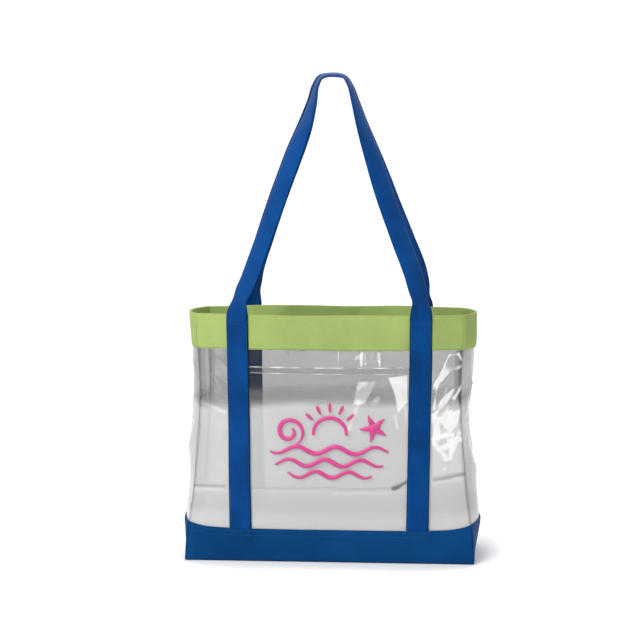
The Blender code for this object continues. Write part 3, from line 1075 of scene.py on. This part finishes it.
def webbing_stations(side):
    """Middle line and facing of one webbing, from its left foot over the top to its right foot."""
    strap_rows = np.linspace(STRAP_FOOT, RIM - 0.006, 80)
    left_x, right_x = strap_x(strap_rows, side, -1), strap_x(strap_rows, side, 1)
    left = wall(left_x, strap_rows, STRAP_MIDDLE, side)
    right = wall(right_x, strap_rows, STRAP_MIDDLE, side)
    foot_y = abs(wall(STRAP_X_TOP, RIM, STRAP_MIDDLE + 0.0006, side)[1])
    loop = []
    for x, height in HANDLE_ROUTE:
        x += back_shift(x, height) if side > 0 else 0.0
        lean = np.clip((height - HANDLE_FOOT) / (HANDLE_TOP - HANDLE_FOOT), 0, 1)
        loop.append((x, side * (foot_y + (HANDLE_TOP_Y - foot_y) * lean), height))
    route = smooth_route([left[-2], left[-1], *loop, right[-1], right[-2]], 0.0035)[1:-1]
    middle = np.concatenate((left[:-1], route, right[-2::-1]))
    along = np.gradient(middle, axis=0)
    along /= np.linalg.norm(along, axis=1, keepdims=True)
    outwards = np.cross(along, (0, 1, 0))
    outwards /= np.linalg.norm(outwards, axis=1, keepdims=True)
    forwards = np.cross(outwards, along) * side
    distance = np.concatenate(([0], np.cumsum(np.linalg.norm(np.diff(middle, axis=0), axis=1))))
    start = distance[len(left) - 2]
    finish = distance[len(left) - 1 + len(route)]
    share = (distance - start) / (finish - start)
    up_leg = np.clip(1 - np.abs(2 * share - 1), 0, 1)
    roll = FOOT_ROLL + (LEG_ROLL - FOOT_ROLL) * ease((up_leg - 0.012) / 0.09)
    roll = roll + RIM_ROLL * np.exp(-(((up_leg - 0.070) / 0.030) ** 2))
    turn_start = np.where(share < 0.5, 0.62, 0.5)
    roll = roll + (TOP_ROLL - LEG_ROLL) * ease((up_leg - turn_start) / (1 - turn_start))
    facing = forwards * np.cos(roll)[:, None] + outwards * np.sin(roll)[:, None]
    strap_rows_all = np.concatenate((strap_rows[:-1], strap_rows[-2::-1]))
    on_wall = np.concatenate((left_x[:-1], right_x[-2::-1]))
    held = wall_facing(on_wall, strap_rows_all, side)
    facing[: len(left) - 1] = held[: len(left) - 1]
    facing[-(len(right) - 1) :] = held[len(left) - 1 :]
    return middle, along, facing, distance, up_leg


def make_webbing(name, side, nodes):
    """One length of webbing: strap, handle loop and strap."""
    sizes, _ = bag_settings()
    middle, along, facing, distance, up_leg = webbing_stations(side)
    across = np.cross(along, facing)
    across /= np.linalg.norm(across, axis=1, keepdims=True)
    half_width, half_thick = sizes.web_width / 2, sizes.web_thickness / 2
    share = np.linspace(-1, 1, 11)
    profile = half_thick * np.sqrt(np.clip(1 - np.abs(share) ** 10, 0.0, 1))
    around = np.concatenate((share, share[-2:0:-1]))
    rise = np.concatenate((profile, -profile[-2:0:-1]))
    # Above the rim the webbing cups a little across its width
    cup = 0.0016 * ease(up_leg / 0.2)[:, None] * (around**2)[None, :] * -1
    lift = rise[None, :] + cup
    points = middle[:, None] + across[:, None] * (around * half_width)[None, :, None]
    points = points + facing[:, None] * lift[..., None]
    stations, ring = points.shape[:2]
    index = np.arange(stations * ring).reshape(stations, ring)
    following = np.roll(index, -1, axis=1)
    quads = (index[:-1], following[:-1], following[1:], index[1:])
    quads = quads[::-1] if side > 0 else quads
    faces = np.stack([q.ravel() for q in quads], -1).tolist()
    caps = [index[0].tolist(), index[-1, ::-1].tolist()]
    caps = caps if side > 0 else [cap[::-1] for cap in caps]
    made = new_object(name, points.reshape(-1, 3), faces + caps, webbing_material())
    width_uv = np.broadcast_to((around + 1) * half_width, (stations, ring))
    length_uv = np.broadcast_to(distance[:, None], (stations, ring))
    uv = np.stack((width_uv.ravel(), length_uv.ravel()), -1)
    corners = np.concatenate([np.asarray(faces).ravel(), *map(np.asarray, caps)])
    layer = made.data.uv_layers.new(name="metres")
    layer.data.foreach_set("uv", uv[corners].astype(np.float32).ravel())
    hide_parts(*nodes)
    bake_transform(made)
    return made


# ---------------------------------------------------------------- stitching


def stitch_shape():
    """One stitch, modelled along X: a short rod of thread with sunken ends."""
    sizes, _ = bag_settings()
    bpy.ops.object.select_all(action="DESELECT")
    bpy.ops.mesh.primitive_cylinder_add(
        vertices=6,
        radius=sizes.thread_width / 2,
        depth=sizes.stitch_length * 0.62,
        rotation=(0, math.pi / 2, 0),
        end_fill_type="NGON",
    )
    stitch = bpy.context.object
    bpy.ops.object.transform_apply(location=True, rotation=True, scale=True)
    bpy.ops.object.mode_set(mode="EDIT")
    bpy.ops.mesh.select_mode(type="FACE")
    bpy.ops.mesh.select_all(action="DESELECT")
    bpy.ops.object.mode_set(mode="OBJECT")
    for face in stitch.data.polygons:
        face.select = abs(face.normal.x) > 0.9
    bpy.ops.object.mode_set(mode="EDIT")
    bpy.ops.mesh.extrude_faces_move(
        MESH_OT_extrude_faces_indiv={},
        TRANSFORM_OT_shrink_fatten={"value": sizes.stitch_length * 0.12},
    )
    bpy.ops.transform.resize(value=(1.0, 0.55, 0.55))
    bpy.ops.object.mode_set(mode="OBJECT")
    points = np.array([v.co for v in stitch.data.vertices])
    faces = [list(p.vertices) for p in stitch.data.polygons]
    bpy.data.objects.remove(stitch, do_unlink=True)
    return points, faces


def stitch_run(line, facing, shape, length):
    """Stitches along a line of points, lying on the surface that facing points out of."""
    steps = np.linalg.norm(np.diff(line, axis=0), axis=1)
    reach = np.concatenate(([0], np.cumsum(steps)))
    count = max(int(reach[-1] / length), 1)
    places = (np.arange(count) + 0.5) * reach[-1] / count
    points, faces = shape
    made, used = [], []
    for number, at in enumerate(places):
        centre = np.array([np.interp(at, reach, line[:, i]) for i in range(3)])
        ahead = np.array([np.interp(at + length / 4, reach, line[:, i]) for i in range(3)])
        out = np.array([np.interp(at, reach, facing[:, i]) for i in range(3)])
        along = ahead - centre
        along /= np.linalg.norm(along) or 1.0
        aside = np.cross(out, along)
        aside /= np.linalg.norm(aside) or 1.0
        up = np.cross(along, aside)
        made.append(centre + points @ np.stack((along, aside, up)))
        used += [[v + number * len(points) for v in face] for face in faces]
    return np.concatenate(made), used


def make_stitches(name, runs, colour_name, colour):
    """One object of stitches for a list of lines and their facings."""
    sizes, _ = bag_settings()
    thread = finish_named(colour_name, thread_finish, colour)
    shape = stitch_shape()
    points, faces = [], []
    for line, facing in runs:
        more, used = stitch_run(line, facing, shape, sizes.stitch_length)
        start = sum(len(p) for p in points)
        points.append(more)
        faces += [[v + start for v in face] for face in used]
    made = new_object(name, np.concatenate(points), faces, thread)
    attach(made, "bag")
    return made


def wall_line(xs, heights, offset, side):
    """A line along a long wall and its facing."""
    line = wall(xs, heights, offset, side)
    return line, wall_facing(xs, heights, side)


def gusset_line(height, face, low, high, seed, end):
    """A level line across an end gusset's cloth and its facing."""
    share = np.linspace(-0.96, 0.96, 90)
    offset = face + pucker(share * 0.06, height, low, high, seed) + STITCH_RISE
    line = gusset(share, height, offset, end)
    facing = gusset(share, height, offset + 0.001, end) - line
    return line, facing / np.linalg.norm(facing, axis=1, keepdims=True)


def band_runs(height):
    """A line of stitches round the band at one height."""
    runs = []
    half = float(plan_at(height)[0]) - 0.004
    x = np.linspace(-half, half, 400)
    heights = np.full(400, height)
    for side in (-1, 1):
        offset = BAND_FACE + band_gather(x, heights, side) + STITCH_RISE
        line, facing = wall_line(x, heights, offset, side)
        line[:, 2] += band_droop(x, heights, side)
        runs.append((line, facing))
    for end in (-1, 1):
        runs.append(gusset_line(height, BAND_FACE, BAND_LOW, RIM - 0.004, 51 + end, end))
    return runs


def boot_runs(drop):
    """A line of stitches below the boot's upper edge."""
    runs = []
    share = np.linspace(-0.98, 0.98, 400)
    height = boot_top(share) - drop
    x = share * plan_at(height)[0]
    for side in (-1, 1):
        gather = boot_gather(x, height, side, boot_top(share))
        offset = BOOT_FACE + boot_bulge(x, height, side) + gather + STITCH_RISE
        runs.append((wall(x, height, offset, side), wall_facing(x, height, side)))
    top = BOOT_CORNER_HIGH
    for end in (-1, 1):
        runs.append(gusset_line(top - drop, BOOT_FACE, 0.001, top - 0.004, 71 + end, end))
    return runs


def strap_runs(side):
    """Stitches up both edges of each strap, and two lines across it near the rim."""
    sizes, _ = bag_settings()
    inset = sizes.web_width / 2 - 0.0026
    face = STRAP_MIDDLE + sizes.web_thickness / 2 - 0.0001
    line_low, line_high = RIM - 0.013, RIM - 0.009
    runs = []
    for end in (-1, 1):

        def run(start, finish, count=60):
            (dx1, z1), (dx2, z2) = start, finish
            heights = np.linspace(z1, z2, count)
            xs = strap_x(heights, side, end) + np.linspace(dx1, dx2, count)
            return wall_line(xs, heights, face, side)

        for edge in (-inset, inset):
            runs.append(run((edge, BOOT_HIGH + 0.001), (edge, line_high)))
        runs.append(run((-inset, line_high), (inset, line_high), 12))
        runs.append(run((-inset, line_low), (inset, line_low), 12))
    return runs


# ---------------------------------------------------------------- settings


def length_setting(name, description, default):
    return bpy.props.FloatProperty(
        name=name, description=description, default=default, unit="LENGTH", precision=5
    )


def colour_setting(name, description, default):
    return bpy.props.FloatVectorProperty(
        name=name, description=description, default=default, subtype="COLOR", min=0.0, max=1.0
    )


class ToteSizes(bpy.types.PropertyGroup):
    film_thickness: length_setting("Film", "Thickness of the clear film", 0.0006)
    cloth_thickness: length_setting("Cloth", "Thickness of the coated cloth", 0.0005)
    web_width: length_setting("Webbing width", "Width of the straps and handles", 0.032)
    web_thickness: length_setting("Webbing thickness", "Thickness of the webbing", 0.0018)
    hem_height: length_setting("Pocket hem", "Depth of the hem at the pocket's mouth", 0.009)
    thread_pitch: length_setting("Weave pitch", "Distance between the cloth's threads", 0.0008)
    stitch_length: length_setting("Stitch", "Length of one stitch with its gap", 0.0036)
    thread_width: length_setting("Thread", "Thickness of the sewing thread", 0.0007)


class ToteColours(bpy.types.PropertyGroup):
    green: colour_setting("Band", "Colour of the cloth round the mouth", (0.329, 0.429, 0.136))
    blue_cloth: colour_setting("Boot", "Colour of the base boot", (0.0035, 0.048, 0.158))
    blue_webbing: colour_setting("Webbing", "Colour of the straps and handles", (0.0030, 0.042, 0.165))
    # The empty film's smoky tone: painted shade for the bag's dim inside
    film_shade: colour_setting("Film shade", "Tone of the empty film", (0.018, 0.018, 0.019))
    # Milky tone low down, and the colour of the painted crease highlights
    film_milk: colour_setting("Film milk", "Tone of the film where it is white", (0.80, 0.797, 0.792))
    print_pink: colour_setting("Print", "Colour of the printed motif", (0.60, 0.040, 0.225))


# ---------------------------------------------------------------- operators


class TOTE_OT_stage(bpy.types.Operator):
    """Add the floor, the lights and the camera"""

    bl_idname = "tote.stage"
    bl_label = "Stage"

    def execute(self, context):
        make_stage()
        return {"FINISHED"}


class TOTE_OT_clear_walls(bpy.types.Operator):
    """Add the clear film walls and their corner seams"""

    bl_idname = "tote.clear_walls"
    bl_label = "Clear Walls"

    def execute(self, context):
        make_wall_film("front_film", -1, "front_clear_panel")
        make_wall_film("back_film", 1, "back_clear_panel")
        make_gusset_film("right_film", 1, "right_clear_gusset")
        make_gusset_film("left_film", -1, "left_clear_gusset")
        for side, side_name in ((-1, "front"), (1, "back")):
            for end, end_name in ((-1, "left"), (1, "right")):
                make_corner_allowance(f"{side_name}_{end_name}_seam_allowance", side, end)
        return {"FINISHED"}


class TOTE_OT_top_band(bpy.types.Operator):
    """Add the folded cloth band round the mouth"""

    bl_idname = "tote.top_band"
    bl_label = "Top Band"

    def execute(self, context):
        make_wall_band("front_band", -1, "front_top_band")
        make_wall_band("back_band", 1, "back_top_band")
        make_end_band("right_band", 1, "right_top_band")
        make_end_band("left_band", -1, "left_top_band")
        return {"FINISHED"}


class TOTE_OT_base_boot(bpy.types.Operator):
    """Add the cloth boot: its wrap round the floor and its two ends"""

    bl_idname = "tote.base_boot"
    bl_label = "Base Boot"

    def execute(self, context):
        make_boot()
        make_boot_end("right_boot_end", 1, "right_base_end")
        make_boot_end("left_boot_end", -1, "left_base_end")
        return {"FINISHED"}


class TOTE_OT_slip_pocket(bpy.types.Operator):
    """Add the slip pocket, its hem and the print on it"""

    bl_idname = "tote.slip_pocket"
    bl_label = "Slip Pocket"

    def execute(self, context):
        make_pocket()
        make_hem()
        make_print()
        return {"FINISHED"}


class TOTE_OT_webbing(bpy.types.Operator):
    """Add the two lengths of webbing that are straps and handle"""

    bl_idname = "tote.webbing"
    bl_label = "Webbing"

    def execute(self, context):
        for side, name in ((-1, "front"), (1, "back")):
            nodes = [f"{name}_left_strap", f"{name}_right_strap", f"{name}_handle"]
            make_webbing(f"{name}_webbing", side, nodes)
        return {"FINISHED"}


class TOTE_OT_stitching(bpy.types.Operator):
    """Add the stitches of the band, boot and straps"""

    bl_idname = "tote.stitching"
    bl_label = "Stitching"

    def execute(self, context):
        _, colours = bag_settings()
        green = tuple(min(1.0, c * 1.25) for c in colours.green)
        blue = tuple(c * 1.4 for c in colours.blue_cloth)
        band = band_runs(RIM - RIM_STITCH_DROP) + band_runs(BAND_LOW + BAND_STITCH_RISE)
        make_stitches("band_stitches", band, "green_thread", green)
        boot = [run for drop in BOOT_STITCH_DROPS for run in boot_runs(drop)]
        make_stitches("boot_stitches", boot, "blue_thread", blue)
        for side, name in ((-1, "front"), (1, "back")):
            runs = strap_runs(side)
            make_stitches(f"{name}_strap_stitches", runs, "blue_thread", blue)
        return {"FINISHED"}


class TOTE_PT_panel(bpy.types.Panel):
    """Sizes, colours and pieces of the tote"""

    bl_label = "Clear Beach Tote"
    bl_space_type = "VIEW_3D"
    bl_region_type = "UI"
    bl_category = "Tote"

    def draw(self, context):
        for group in (context.scene.tote_sizes, context.scene.tote_colours):
            column = self.layout.column(align=True)
            for name in group.__annotations__:
                column.prop(group, name)
        for operator in PIECE_OPERATORS:
            self.layout.operator(operator.bl_idname)


PIECE_OPERATORS = (
    TOTE_OT_stage,
    TOTE_OT_clear_walls,
    TOTE_OT_top_band,
    TOTE_OT_base_boot,
    TOTE_OT_slip_pocket,
    TOTE_OT_webbing,
    TOTE_OT_stitching,
)
CLASSES = (ToteSizes, ToteColours, *PIECE_OPERATORS, TOTE_PT_panel)


# ---------------------------------------------------------------- stage


# Area lights: name, place, aim, width and depth, watts
LIGHTS = (
    ("key", (-1.2, -2.1, 2.3), (0, 0, 0.3), (1.7, 1.7), 79),
    ("fill", (2.2, -1.6, 1.0), (0.05, 0, 0.25), (0.4, 1.6), 5),
    ("back", (0.0, 1.4, 2.2), (0, 0.6, 0.2), (3.0, 1.2), 40),
)
SKY_STRENGTH = 0.48
CAMERA_PLACE = (0.1641, -2.5272, 0.5856)
CAMERA_TILT, CAMERA_TURN = math.radians(84.5), math.radians(4.12)
SENSOR_WIDTH, LENS = 36, 98.2
# The backdrop: how far its floor reaches, and where and how it curves up
FLOOR_REACH, CURVE_START, CURVE_RADIUS, BACKDROP_HIGH = 14.0, 1.6, 1.2, 5.0


def area_light(name, place_at, aim, size, watts):
    light = bpy.data.lights.new(name, "AREA")
    light.shape = "RECTANGLE"
    light.size, light.size_y = size
    light.energy = watts
    lamp = bpy.data.objects.new(name, light)
    bpy.context.scene.collection.objects.link(lamp)
    lamp.location = place_at
    direction = lamp.location - type(lamp.location)(aim)
    lamp.rotation_euler = direction.to_track_quat("Z", "Y").to_euler()


def make_backdrop():
    """A pale floor that curves up behind the bag."""
    profile = [(-FLOOR_REACH, 0.0), (CURVE_START, 0.0)]
    for angle in np.linspace(0, math.pi / 2, 14)[1:]:
        up = CURVE_RADIUS * (1 - math.cos(angle))
        profile.append((CURVE_START + CURVE_RADIUS * math.sin(angle), up))
    profile.append((CURVE_START + CURVE_RADIUS, BACKDROP_HIGH))
    grid = np.array([[(x, y, z) for x in (-FLOOR_REACH, FLOOR_REACH)] for y, z in profile])
    finish = Finish("backdrop_finish", Roughness=0.9, Specular_IOR_Level=0.0)
    finish.shader.inputs["Base Color"].default_value = (0.93, 0.93, 0.93, 1)
    rows = len(profile)
    faces = [(2 * i, 2 * i + 1, 2 * i + 3, 2 * i + 2) for i in range(rows - 1)]
    backdrop = new_object("backdrop", grid.reshape(-1, 3), faces, finish.material)
    backdrop.location.z = -0.0005


def make_stage():
    scene = bpy.context.scene
    make_backdrop()
    world = bpy.data.worlds.new("studio")
    world.use_nodes = True
    sky = world.node_tree.nodes["Background"].inputs
    sky["Color"].default_value = (1, 1, 1, 1)
    sky["Strength"].default_value = SKY_STRENGTH
    scene.world = world
    for light in LIGHTS:
        area_light(*light)
    scene.view_settings.view_transform = "Standard"
    # Light passes up to this many layers of film on its way through the bag
    scene.cycles.transparent_max_bounces = 32
    lens = bpy.data.cameras.new("camera")
    lens.sensor_width, lens.lens = SENSOR_WIDTH, LENS
    camera = bpy.data.objects.new("camera", lens)
    scene.collection.objects.link(camera)
    camera.location = CAMERA_PLACE
    camera.rotation_euler = (CAMERA_TILT, 0, CAMERA_TURN)
    scene.camera = camera


# ---------------------------------------------------------------- run


def register():
    for made in CLASSES:
        bpy.utils.register_class(made)
    bpy.types.Scene.tote_sizes = bpy.props.PointerProperty(type=ToteSizes)
    bpy.types.Scene.tote_colours = bpy.props.PointerProperty(type=ToteColours)


def unregister():
    del bpy.types.Scene.tote_sizes
    del bpy.types.Scene.tote_colours
    for made in reversed(CLASSES):
        bpy.utils.unregister_class(made)


def main():
    register()
    bpy.ops.tote.stage()
    bpy.ops.tote.clear_walls()
    bpy.ops.tote.top_band()
    bpy.ops.tote.base_boot()
    bpy.ops.tote.slip_pocket()
    bpy.ops.tote.webbing()
    bpy.ops.tote.stitching()


if __name__ == "__main__":
    main()
